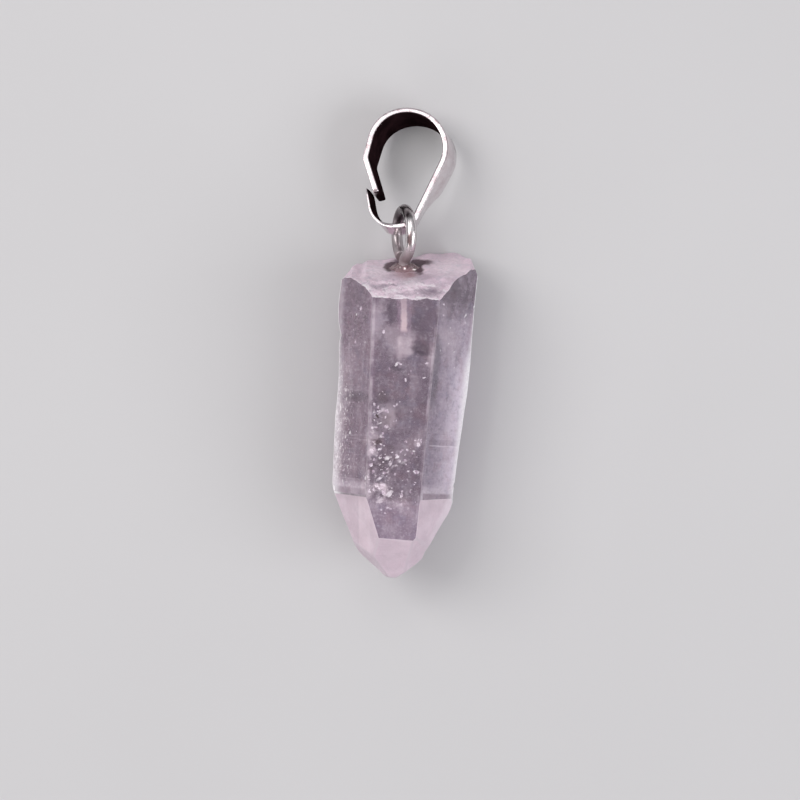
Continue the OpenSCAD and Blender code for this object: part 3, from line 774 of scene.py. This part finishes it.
def frostedFinish():
    finish, shader, start = newFinish("frostedQuartz", IOR=1.54, Subsurface_Weight=0.35,
                                      Subsurface_Radius=(1.0, 0.8, 0.9), Subsurface_Scale=1.2 * mm)
    place = quartzPlace(start)
    x, y, _ = place.axes()
    upward = rise(facingOf(start).axes()[2], 0.35, 0.6)
    soft = rise(grain(place, 0.5, 4), 0.35, 0.7)
    fine = rise(grain(place, 7, 5, 0.7), 0.35, 0.75)
    dull = rise(grain(place, 1.7, 4, 0.6), 0.5, 0.75)
    fromFold = x + 0.0787 * y + 4.63  # a faint fold down the left of the tip
    # painted shade along the fold and a painted light band beside it, both on faces turned up
    fold = band(fromFold, -0.02, 0.02, 0.15) * band(y, -24.6, -21.0, 1.2)
    lit = band(fromFold, 0.12, 1.0, 0.12) * band(y, -25.0, -20.0, 0.9)
    etched = rise(grain(stretch(place, (1.0, 0.35, 1.0)), 3.2, 6, 0.75), 0.52, 0.66)
    clouded = rise(grain(shift(place, (4, 4, 4)), 0.9, 5, 0.65), 0.45, 0.62)
    below = rise(y, -20.9, -20.1) * rise(x, -2.2, -2.6)  # under the left shoulder
    streaks = rise(grain(stretch(place, (0.25, 3.0, 3.0)), 1.6, 4, 0.7), 0.52, 0.72)
    pastOutline = x.maths("ABSOLUTE", x - 0.01 * y) - 0.386 * y - 12.92  # 0 on the tip's outline
    # painted highlight along the tip's outline on faces turned up
    outline = rise(pastOutline, -0.55, -0.1) * rise(y, -25.2, -23.2)
    tone = coats(blend(soft, (0.62, 0.495, 0.57), (0.72, 0.585, 0.665)),
                 (fine * 0.14, (0.92, 0.82, 0.90)), (dull * 0.14, (0.40, 0.32, 0.38)),
                 (fold * upward * 0.32, (0.42, 0.33, 0.39)), (lit * upward * 0.35, (0.92, 0.76, 0.83)),
                 (etched * (1 - upward) * 0.22, (0.36, 0.28, 0.34)),
                 (clouded * (1 - upward) * 0.30, (0.90, 0.80, 0.88)),
                 (below * 0.30, (0.42, 0.33, 0.39)), (streaks * 0.10, (0.95, 0.85, 0.93)),
                 (outline * upward * 0.5, (0.97, 0.90, 0.96)))
    feed(shader, Base_Color=tone, Roughness=0.42 + 0.2 * fine,
         Normal=bump(grain(place, 6, 5, 0.65), 0.03, 0.7))
    return finish


def wornFinish():
    finish, shader, start = newFinish("wornEdge", IOR=1.54)
    place = quartzPlace(start)
    x, y, _ = place.axes()
    patchy = rise(grain(place, 1.8, 5, 0.7), 0.35, 0.65)
    tone = coats(blend(patchy, (0.24, 0.195, 0.23), (0.38, 0.32, 0.37)),
                 (rise(x.maths("ABSOLUTE", x), 4.2, 5.2), (0.97, 0.94, 0.97)),
                 (rise(y, -20.0, -20.6), (0.66, 0.545, 0.62)))
    feed(shader, Base_Color=tone, Roughness=0.3 + 0.2 * patchy,
         Normal=bump(grain(place, 8, 5, 0.65), 0.03, 0.8))
    return finish


def brokenFinish():
    finish, shader, start = newFinish("brokenQuartz", IOR=1.54, Subsurface_Weight=0.15,
                                      Subsurface_Radius=(1.0, 0.8, 0.9), Subsurface_Scale=0.5 * mm)
    place = quartzPlace(start)
    astray = wander(place, 2.0, 0.6)
    chipped = rise(place.axes()[1], -0.9, -1.9)  # the front chip is rougher and greyer
    soft = rise(grain(place, 0.7, 4), 0.3, 0.7)
    bluish = rise(grain(place, 1.3, 4, 0.6), 0.45, 0.7)
    grey = rise(grain(place, 2.6, 5, 0.7), 0.47, 0.68)
    specks = rise(grain(place, 3.4, 5, 0.7), 0.50, 0.62)
    ragged = 0.35 + 1.3 * grain(place, 2.2, 5, 0.7)

    # pale crumbled rim, next to the faces that the break cuts through
    nearest = None
    for azimuth, taper, share in quartz["prism"]:
        normal, _ = facetPlane(azimuth, taper, 0)
        within = place.vector("DOT_PRODUCT", place, normal, output=1) - share * quartz["halfWidth"]
        nearest = nearest.maths("MAXIMUM", nearest, within) if nearest else within
    crumbled = rise(nearest + 0.25 * (grain(place, 2.4, 4, 0.7) - 0.5), -0.24, -0.06)
    crumbled = crumbled * rise(grain(place, 1.9, 3, 0.6), 0.42, 0.60) * (0.25 + 0.6 * chipped)

    wet = marks(wander(place, 1.6, 0.45), quartz["wetMarks"])
    wet = rise(wet * (0.6 + 0.8 * grain(place, 3.2, 3, 0.6)), 0.05, 1.0)
    tone = coats(blend(soft, (0.735, 0.575, 0.68), (0.85, 0.68, 0.78)),
                 (bluish * 0.45, (0.50, 0.46, 0.56)),
                 (grey * (0.10 + 0.42 * chipped), (0.28, 0.235, 0.275)),
                 (specks * (0.20 + 0.50 * chipped), (0.96, 0.88, 0.94)),
                 (crumbled, (0.95, 0.87, 0.93)),
                 # painted shade in the chip's hollow and painted highlights on its lips come in with these
                 # marks
                 (marks(astray, quartz["darkMarksAndChipShade"]) * ragged, (0.24, 0.18, 0.245)),
                 (marks(astray, quartz["paleMarksAndChipHighlights"]) * ragged, (0.97, 0.90, 0.95)),
                 (marks(astray, quartz["redMarks"]) * ragged, (0.36, 0.20, 0.22)),
                 (wet * 0.97, blend(soft, (0.050, 0.014, 0.024), (0.095, 0.045, 0.07))))
    feed(shader, Base_Color=tone, Roughness=0.48 + 0.12 * soft,
         Normal=bump(grain(place, 5, 6, 0.7) * (1 - 0.8 * wet), 0.07, 0.9))
    return finish


def drilledFinish():
    finish, shader, start = newFinish("drilledWall", IOR=1.54)
    rings = grain(stretch(quartzPlace(start), (0.2, 1.0, 0.2)), 12, 3)
    feed(shader, Base_Color=blend(rise(rings, 0.35, 0.65), (0.55, 0.44, 0.48), (0.75, 0.64, 0.69)),
         Roughness=0.45 + 0.2 * rings, Normal=bump(rings, 0.03, 0.7))
    return finish


def makeQuartz():
    finishes = [clearFinish(), frostedFinish(), wornFinish(), brokenFinish(), drilledFinish()]
    body = makeBody(finishes)
    for makeCutter in (makeBreakCutter, makeNickCutter, makeDrill):
        cut(body, makeCutter(finishes))
    frostFacets(body)
    bowOutline(body)
    settle(body, toRow, 28)
    flat = body.modifiers.new("flatFaces", "WEIGHTED_NORMAL")  # keeps the big faces flat
    flat.keep_sharp, flat.weight = True, 100
    applyModifiers(body)
    finishPiece(body, "quartz", "quartz_point")


makeQuartz()

# Flecks inside the crystal: sealed fractures that flash white, in the crystal's own frame in mm.
flecks = {
    # those that show most, under the front face: x, y, half length
    "front": [
        (-1.14, -12.63, 0.17), (-2.26, -14.15, 0.13), (-1.04, -13.95, 0.17), (-1.33, -14.57, 0.11),
        (-2.01, -15.36, 0.13), (-2.15, -16.11, 0.21), (-1.9, -16.0, 0.15), (-1.52, -15.96, 0.13),
        (0.04, -16.43, 0.17), (0.36, -16.01, 0.13), (1.78, -15.31, 0.17), (1.99, -14.99, 0.11),
        (-0.97, -16.66, 0.11), (-2.06, -17.28, 0.11), (0.87, -17.05, 0.09), (1.81, -17.66, 0.21),
        (-2.3, -18.37, 0.09), (-1.28, -18.4, 0.11), (-0.97, -17.94, 0.11), (-1.52, -19.02, 0.21),
        (-1.3, -19.2, 0.18), (-0.94, -18.97, 0.17), (-0.85, -19.5, 0.2), (-0.78, -19.74, 0.19),
        (-2.07, -19.65, 0.13), (1.4, -19.38, 0.11), (0.69, -19.73, 0.21), (0.7, -20.51, 0.13),
        (-0.97, -21.08, 0.11), (-0.14, -20.97, 0.11), (-0.6, -21.35, 0.09), (1.96, -8.31, 0.15),
        (-0.34, -8.49, 0.17), (-1.18, -9.01, 0.11), (0.26, -9.83, 0.13), (1.81, -9.56, 0.13),
        (-1.92, -5.91, 0.15)],
    # and under the side faces
    "left": [
        (-3.87, -4.03, 0.17), (-4.19, -6.93, 0.13), (-4.35, -18.03, 0.13), (-4.2, -15.41, 0.13),
        (-4.62, -13.53, 0.13), (-4.81, -14.42, 0.13), (-4.0, -19.04, 0.13)],
    "right": [(4.88, -4.51, 0.15), (2.95, -4.07, 0.13), (2.9, -3.14, 0.13), (4.63, -12.97, 0.11)],
    # crowds of small ones: face, x and y from and to, how many, half length from and to
    "crowds": [
        ("front", (-2.3, -0.3), (-20.0, -12.0), 50, (0.03, 0.13)),
        ("front", (-0.5, 2.0), (-21.0, -14.0), 26, (0.03, 0.11)),
        ("front", (-2.4, 2.3), (-13.5, -8.0), 18, (0.03, 0.07)),
        ("left", (-5.3, -3.1), (-19.4, -8.0), 70, (0.03, 0.08)),
        ("right", (2.9, 5.2), (-19.0, -3.0), 22, (0.025, 0.06))],
    "depth": (0.03, 0.16),
    "sizeUp": 1.5,
}


def fleckFinish():
    # the flecks glow a little: a painted sparkle
    finish, shader, start = newFinish("glowingSealedFracture", IOR=1.3, Emission_Strength=0.9)
    patchy = rise(grain(quartzPlace(start), 2.6, 3), 0.40, 0.62)
    tone = blend(patchy, (0.42, 0.34, 0.41), (1.0, 0.98, 1.0))
    feed(shader, Base_Color=tone, Emission_Color=tone, Roughness=0.15 + 0.2 * patchy)
    return finish


def makeFlecks():
    chance = random.Random(11)
    planes = {"front": quartz["prism"][0], "right": quartz["prism"][1], "left": quartz["prism"][5]}
    spots = [(face, *spot) for face in planes for spot in flecks[face]]
    for face, across, down, count, sizes in flecks["crowds"]:
        for _ in range(count):
            spots.append((face, chance.uniform(*across), chance.uniform(*down), chance.uniform(*sizes)))
    clearSelection()
    bpy.ops.mesh.primitive_ico_sphere_add(subdivisions=1, radius=1)
    flake = namedPiece("flake")
    made = []
    for face, x, y, size in spots:
        azimuth, taper, share = planes[face]
        size *= flecks["sizeUp"]
        normal, point = facetPlane(azimuth, taper, share * quartz["halfWidth"])
        depth = chance.uniform(*flecks["depth"]) + size * 0.5
        z = (normal.dot(point) - depth - normal.x * x - normal.y * y) / normal.z
        spin, tilt = chance.uniform(0, 6.28), chance.uniform(-0.6, 0.6)
        turn = normal.to_track_quat("Z", "Y").to_matrix().to_4x4() @ (
            Matrix.Rotation(spin, 4, "Z") @ Matrix.Rotation(tilt, 4, "X"))
        shard = flake.copy()
        shard.data = flake.data.copy()
        bpy.context.collection.objects.link(shard)
        for vertex in shard.data.vertices:
            vertex.co *= chance.uniform(0.6, 1.15)
        shard.data.transform(Matrix.Translation((x, y, z)) @ turn
                             @ Matrix.Diagonal((size, size * chance.uniform(0.4, 0.9), size * 0.22, 1)))
        made.append(shard)
    bpy.data.objects.remove(flake)
    whole = joined(made)
    whole.name = whole.data.name = "quartz_flecks"
    whole.data.transform(Matrix.Scale(mm, 4) @ toRow)
    whole.data.materials.append(fleckFinish())
    finishPiece(whole, "quartz")


makeFlecks()

# The eye pin is built in the eye's own plane in mm: the peg along Y, the eye round the origin.
eyePin = {
    "centre": (-0.08, 9.44, 5.0),
    "turn": 17.0,
    "eyeRadius": 2.1,
    "wire": 0.96,
    "neckRadius": 0.8,
    "sweep": 318.0,
    "pegEnd": 1.34,  # height of the peg's lower end in the hole
    "endRounding": 0.1,
    "sides": 28,
    "pegParts": 10,
    "neckSteps": 14,
    "eyeSteps": 84,
    "tone": (0.9, 0.86, 0.87),
    "gluedBelow": 7.9,
    # painted dark reflections at the top of the eye and down its front: x, y, half width, half height,
    # softness, strength
    "shadeAndReflectionSpots": [
        (-0.35, 11.15, 0.75, 0.5, 0.5, 0.85), (0.35, 10.9, 0.25, 0.3, 0.6, 0.5),
        (-0.75, 9.0, 0.16, 0.5, 0.6, 0.5)],
    # a painted red reflection down the front of the eye
    "redReflectionSpots": [(0.4, 8.85, 0.17, 0.62, 0.6, 0.8)],
}


def metalBase(name, tone, dull, scratchScale):  # what the wire and the strip have in common
    finish, shader, start = newFinish(name, Metallic=1.0)
    place = placeInMm(start)
    drawn = grain(stretch(place, scratchScale), 6, 4, 0.7)
    scratches = rise(drawn, 0.55, 0.75)
    smudge = rise(grain(place, 0.9, 4), 0.35, 0.7)
    specks = rise(grain(place, 11, 2), 0.68, 0.74)
    colour = coats(tone, (smudge * 0.6, (0.78 * tone[0], 0.69 * tone[1], 0.71 * tone[2])),
                   (scratches * 0.25, [c * 0.45 for c in tone]), (specks * 0.7, (0.16, 0.11, 0.12)))
    rough = dull + 0.10 * smudge + 0.15 * scratches + 0.2 * specks
    relief = bump(drawn * 0.5 + grain(place, 1.6, 2) * 0.8, 0.012, 0.6)
    feed(shader, Normal=relief)
    return finish, shader, start, place, smudge, colour, rough, relief


def wireFinish():
    finish, shader, start, place, smudge, colour, rough, _ = metalBase(
        "silverWire", eyePin["tone"], 0.18, (1, 1, 1))
    _, y, z = place.axes()
    astray = wander(place, 2.0, 0.4)
    sides = rise(facingOf(start).axes()[2], 0.8, 0.25)  # painted dark reflection on what doesn't face up
    under = rise(z, 5.6, 4.4)
    film = rise(y + 0.5 * smudge, eyePin["gluedBelow"] + 0.5, eyePin["gluedBelow"] - 0.3)  # of dull glue
    colour = coats(colour, (under * 0.6, (0.30, 0.25, 0.26)),
                   (sides * (0.35 + 0.3 * smudge), (0.16, 0.13, 0.14)),
                   # painted dark and red reflections
                   (marks(astray, eyePin["shadeAndReflectionSpots"]), (0.07, 0.052, 0.058)),
                   (marks(astray, eyePin["redReflectionSpots"]), (0.24, 0.105, 0.11)),
                   (film * 0.9, (0.31, 0.24, 0.255)))
    feed(shader, Base_Color=colour, Roughness=lay(lay(rough, under, 0.34), film, 0.35),
         Metallic=1 - 0.8 * film)
    return finish


def makeEyePin():
    radius, neck = eyePin["eyeRadius"], eyePin["neckRadius"]
    neckRise = math.sqrt(radius * radius + 2 * radius * neck)
    pegEnd, parts = eyePin["pegEnd"] - eyePin["centre"][1], eyePin["pegParts"]
    rounding = {"offset": eyePin["endRounding"], "segments": 3, "affect": "EDGES"}
    clearSelection()
    bpy.ops.mesh.primitive_circle_add(vertices=eyePin["sides"], radius=eyePin["wire"] / 2,
                                      fill_type="NGON", location=(0, pegEnd, 0), rotation=upright)
    pin = namedPiece("eye_pin_wire")
    editAll()
    for _ in range(parts):
        extrude((0, (-neckRise - pegEnd) / parts, 0))
    bpy.ops.mesh.spin(steps=eyePin["neckSteps"], angle=math.atan2(neckRise, neck),
                      center=(-neck, -neckRise, 0), axis=(0, 0, -1))
    bpy.ops.mesh.spin(steps=eyePin["eyeSteps"], angle=math.radians(eyePin["sweep"]),
                      center=(0, 0, 0), axis=(0, 0, 1))
    bpy.ops.mesh.bevel(**rounding)
    objectMode()
    editFaces(pin, lambda face: face.normal.y < -0.99 and face.center.y < pegEnd + 0.01)
    bpy.ops.mesh.bevel(**rounding)
    closeMesh()
    turn = Matrix.Rotation(math.radians(90 + eyePin["turn"]), 4, "Y")
    settle(pin, Matrix.Translation(eyePin["centre"]) @ turn, 40, wireFinish())
    finishPiece(pin, "eye_metal", "eye_pin")


makeEyePin()

# The bail is one strip in its own plane in mm, from the hook's tip round to its free end.
bail = {
    # straight run, then the radius and angle of the bend that follows it
    "bends": [
        (1.8, 2.31, 89), (0.2, 1.73, 57), (5.18, 3.36, 140), (0, 3.16, 51), (1.64, 1.2, 31), (2.98, 0, 0)],
    "hookTip": (-3.39, 3.71),
    "hookHeading": -81.0,
    "thickness": 0.5,
    "cornerRadius": 0.11,
    "widthAtEye": 2.0,
    "widthAtCrown": 3.4,
    "crown": 10.7,
    "hookWidth": 1.3,
    "hookShoulder": (-2.3, -0.9),  # x where it has narrowed, and where it begins to
    "hookRun": 6.0,
    "endCorner": 0.3,
    "seat": (0, 9.85, 4.8),
    "droop": 17.09,
    "straightStep": 0.4,
    "bendStep": 5.0,
    "tipSteps": [0.03, 0.07, 0.1, 0.15, 0.2, 0.2],
    "endSteps": [0.4, 0.4, 0.4, 0.4, 0.4, 0.4, 0.28, 0.1, 0.08, 0.06, 0.04, 0.02],
    # how far the lower edge is pushed sideways for each mm of width. That sets in over these
    # heights and distances to the left, and near its tip the hook is pushed further.
    "skew": 0.27,
    "skewUp": (1.7, 4.2),
    "skewLeft": (1.4, 2.6),
    "hookSkew": 0.18,
    "hookSkewEnd": (2.5, 5.0),
    # thickness of the hook as a share, by the distance from its tip
    "hookThinning": [(0, 0.28), (2.5, 0.42), (4.5, 0.75), (6.0, 1.0), (100, 1.0)],
    "tone": (0.85, 0.79, 0.815),
    "loopMiddle": (0.3, 15.6, 3.2),  # the inner wall that faces it is painted near-black, a painted dark reflection
    "shadeAndReflectionSpots": [(-1.9, 12.75, 0.75, 0.75, 0.3, 1.0)],  # and the free end is painted dark, a painted shade
}


def stripPlaces():  # places along the strip's middle, each with its distance from the hook's tip
    place, heading = Vector(bail["hookTip"]), math.radians(bail["hookHeading"])
    places, travelled, parts = [(place, 0.0)], 0.0, 40
    for run, radius, bend in bail["bends"]:
        bend, forward = math.radians(bend), Vector((math.cos(heading), math.sin(heading)))
        for part in range(1, parts + 1):
            places.append((place + forward * run * part / parts, travelled + run * part / parts))
        place, travelled = places[-1]
        centre = place + radius * Vector((-forward.y, forward.x))
        for part in range(1, parts + 1):
            turned = heading + bend * part / parts
            places.append((centre + radius * Vector((math.sin(turned), -math.cos(turned))),
                           travelled + radius * bend * part / parts))
        place, travelled = places[-1]
        heading += bend
    return places


def stripWidth(place, travelled, whole):
    narrow, hook, corner = bail["widthAtEye"], bail["hookWidth"], bail["endCorner"]
    width = narrow + (bail["widthAtCrown"] - narrow) * progress(place.y, 0, bail["crown"])
    if travelled < bail["hookRun"]:
        low, high = bail["hookShoulder"]
        width += (hook - width) * ease(-place.x, -high, -low)
    half, tip, left = width / 2, hook / 2, whole - travelled
    if travelled < tip:  # rounded tip of the hook
        half = math.sqrt(max(0.0, tip * tip - (tip - travelled - 0.02) ** 2))
    if left < corner:  # corners of the free end
        half -= corner - math.sqrt(max(0.0, corner * corner - (corner - left) ** 2))
    return 2 * half


def stripFinish():
    finish, shader, start, place, smudge, colour, rough, relief = metalBase(
        "silverStrip", bail["tone"], 0.12, (1, 1, 0.25))
    facing = facingOf(start)
    upward = facing.axes()[2]
    worn = rise(grain(place, 2.2, 5, 0.7), 0.52, 0.66)
    rubbed = rise(grain(place, 2.0, 5, 0.75), 0.50, 0.64) * rise(upward, 0.7, 0.88)
    feed(shader, Roughness=rough, Base_Color=coats(
        colour, (worn * 0.28, (0.50, 0.40, 0.42)), (rubbed * 0.75, (0.46, 0.345, 0.36))))
    # painted dark reflection on the inner wall that faces the loop's middle, and painted shade on the free
    # end
    inward = place.vector("SUBTRACT", bail["loopMiddle"], place)
    inward = inward.vector("DOT_PRODUCT", inward.vector("NORMALIZE", inward), facing, output=1)
    freeEndShade = marks(place, bail["shadeAndReflectionSpots"]) * rise(upward, 0.85, 0.55)
    darkReflectionAndShade = start.node("ShaderNodeBsdfPrincipled", {}, {
        "Base Color": blend(smudge, (0.010, 0.005, 0.006), (0.022, 0.010, 0.012)),
        "Roughness": 0.55 + 0.1 * smudge, "Normal": relief, "Specular IOR Level": 0.0})
    layOver(shader, inward.maths("MAXIMUM", rise(inward, 0.10, 0.34), freeEndShade), darkReflectionAndShade)
    return finish


def makeBail():
    heading = math.radians(bail["hookHeading"])
    clearSelection()
    bpy.ops.mesh.primitive_plane_add(size=1, rotation=(math.pi / 2, 0, heading + math.pi / 2))
    bpy.context.object.scale = (bail["thickness"], bail["widthAtEye"], 1)
    bpy.context.object.location = (*bail["hookTip"], 0)
    strip = namedPiece("bail_strip")
    editAll()
    bpy.ops.mesh.bevel(offset=bail["cornerRadius"], segments=4, affect="VERTICES")
    bpy.ops.mesh.select_all(action="SELECT")
    for number, (run, radius, bend) in enumerate(bail["bends"]):
        forward = Vector((math.cos(heading), math.sin(heading), 0))
        steps = bail["tipSteps"] if number == 0 else []
        if number == len(bail["bends"]) - 1:
            steps = bail["endSteps"]
        left = run - sum(steps)
        if left > 1e-6:
            more = max(1, round(left / bail["straightStep"]))
            steps = steps + [left / more] * more
        for step in steps:
            extrude(forward * step)
        if bend:
            ring = [v.co.copy() for v in bmesh.from_edit_mesh(strip.data).verts if v.select]
            inward = Vector((-math.sin(heading), math.cos(heading), 0))
            bpy.ops.mesh.spin(steps=round(bend / bail["bendStep"]), angle=math.radians(bend),
                              center=sum(ring, Vector()) / len(ring) + radius * inward, axis=(0, 0, -1))
        heading += math.radians(bend)
    closeMesh()

    places = stripPlaces()
    for vertex in strip.data.vertices:
        flat = Vector(vertex.co[:2])
        place, travelled = min(places, key=lambda p: (p[0] - flat).length_squared)
        width = stripWidth(place, travelled, places[-1][1])
        out = abs(vertex.co.z) + (width - bail["widthAtEye"]) / 2
        vertex.co.z = math.copysign(max(0.0, out), vertex.co.z)
        flat = place + (flat - place) * along(bail["hookThinning"], travelled)
        skew = bail["skew"] * max(ease(place.y, *bail["skewUp"]), ease(-place.x, *bail["skewLeft"]))
        skew += bail["hookSkew"] * (1 - ease(travelled, *bail["hookSkewEnd"]))
        vertex.co.x, vertex.co.y = flat.x + skew * (width / 2 - vertex.co.z), flat.y
    droop = Matrix.Rotation(-math.radians(bail["droop"]), 4, "X")
    settle(strip, Matrix.Translation(bail["seat"]) @ droop, 40, stripFinish())
    finishPiece(strip, "bail_metal", "bail")


makeBail()

# The glue, round the peg in mm: a tube in the hole, and a lobed puddle on the broken end.
glue = {
    "axis": (-0.08, 5.0),  # x and z of the peg
    "innerRadius": 0.485,
    "outerRadius": 0.6,
    "low": 1.54,
    "mouth": 6.1,
    "puddleRadius": 1.05,
    "height": 0.42,
    "sides": 64,
    "rings": 9,
    "tubeParts": 4,
    # direction in degrees (0 is right, 90 toward the face that shows), reach, spread in degrees
    "lobes": [(178, 0.3, 26), (8, 0.3, 20), (50, 0.3, 22), (112, 0.22, 30), (-60, 0.15, 30)],
    # painted glints, glowing spots that stand in for highlights on the glue: x, y, half width, half height,
    # softness, strength
    "glueGlints": [
        (-0.02, 6.38, 0.08, 0.07, 0.6, 0.9), (0.8, 6.31, 0.14, 0.06, 0.7, 0.6),
        (1.02, 6.17, 0.09, 0.07, 0.7, 0.5), (-0.42, 6.5, 0.06, 0.06, 0.6, 0.25)],
}


def puddleReach(angle):
    reach = glue["puddleRadius"] + 0.16 * noise.noise(Vector((math.cos(angle) * 2, math.sin(angle) * 2, 6)))
    for degrees, more, spread in glue["lobes"]:
        off = (math.degrees(angle) - degrees + 180) % 360 - 180
        reach += more * math.exp(-(off / spread) ** 2)
    return reach


def groundAt(x, z):  # height of the broken end, in the row's frame
    local = toRow.inverted() @ Vector((x, 6.5, z))
    return (toRow @ Vector((local.x, brokenHeight(local.x, local.z), local.z))).y


def glueFinish():
    finish, shader, start = newFinish("clearGlue", Transmission_Weight=0.65, IOR=1.5, Emission_Strength=1.1)
    place = placeInMm(start)
    cloudy = rise(grain(place, 1.6, 4), 0.4, 0.65)
    feed(shader, Base_Color=blend(cloudy, (0.66, 0.47, 0.50), (0.44, 0.28, 0.31)),
         # painted glints glow through the emission
         Emission_Color=blend(marks(place, glue["glueGlints"]), (0, 0, 0), (1, 0.97, 0.95)),
         Roughness=0.05 + 0.10 * cloudy, Normal=bump(grain(place, 1.8, 3), 0.16))
    return finish


def makeGlue():
    x, z = glue["axis"]
    low, mouth, rings, parts = glue["low"], glue["mouth"], glue["rings"], glue["tubeParts"]
    clearSelection()
    bpy.ops.mesh.primitive_circle_add(vertices=glue["sides"], radius=glue["innerRadius"],
                                      location=(x, low, z), rotation=upright)
    lump = namedPiece("glue_lump")
    editAll()
    outward = glue["outerRadius"] / glue["innerRadius"]
    tube = [(0, outward)] + [((mouth - low) / parts, 1)] * parts
    puddle = [(0.05, 1.5)] + [(0.05, 0.97)] * rings  # rough steps: each ring gets its place below
    for up, scale in tube + puddle + [(0.05, 0.9), (low - mouth, 1)]:
        extrude((0, up, 0))
        bpy.ops.transform.resize(value=(scale, 1, scale))
    objectMode()

    for vertex in lump.data.vertices:
        number = vertex.index // glue["sides"] - len(tube) - 1  # 0 at the puddle's edge
        angle = math.atan2(vertex.co.z - z, vertex.co.x - x)
        if number < 0:
            continue
        share, radius = number / rings, glue["innerRadius"]  # share is 1 at the peg
        if number <= rings:
            reach = puddleReach(angle)
            radius = reach + (radius + 0.004 - reach) * share
        vertex.co.x, vertex.co.z = x + radius * math.cos(angle), z + radius * math.sin(angle)
        if number > rings:
            vertex.co.y = mouth if number == rings + 1 else low
        else:
            lift = glue["height"] * (1 - (1 - share) ** 1.6) ** 1.1 - 0.03
            bumpy = noise.noise(Vector((vertex.co.x * 3, vertex.co.z * 3, 1.5)))
            vertex.co.y = groundAt(vertex.co.x, vertex.co.z) + lift + 0.20 * share * (1 - share) * bumpy
    takeUp(lump)
    editMode()
    closeMesh()
    settle(lump, Matrix(), 50, glueFinish())
    finishPiece(lump, "glue", "glue_bead")


makeGlue()
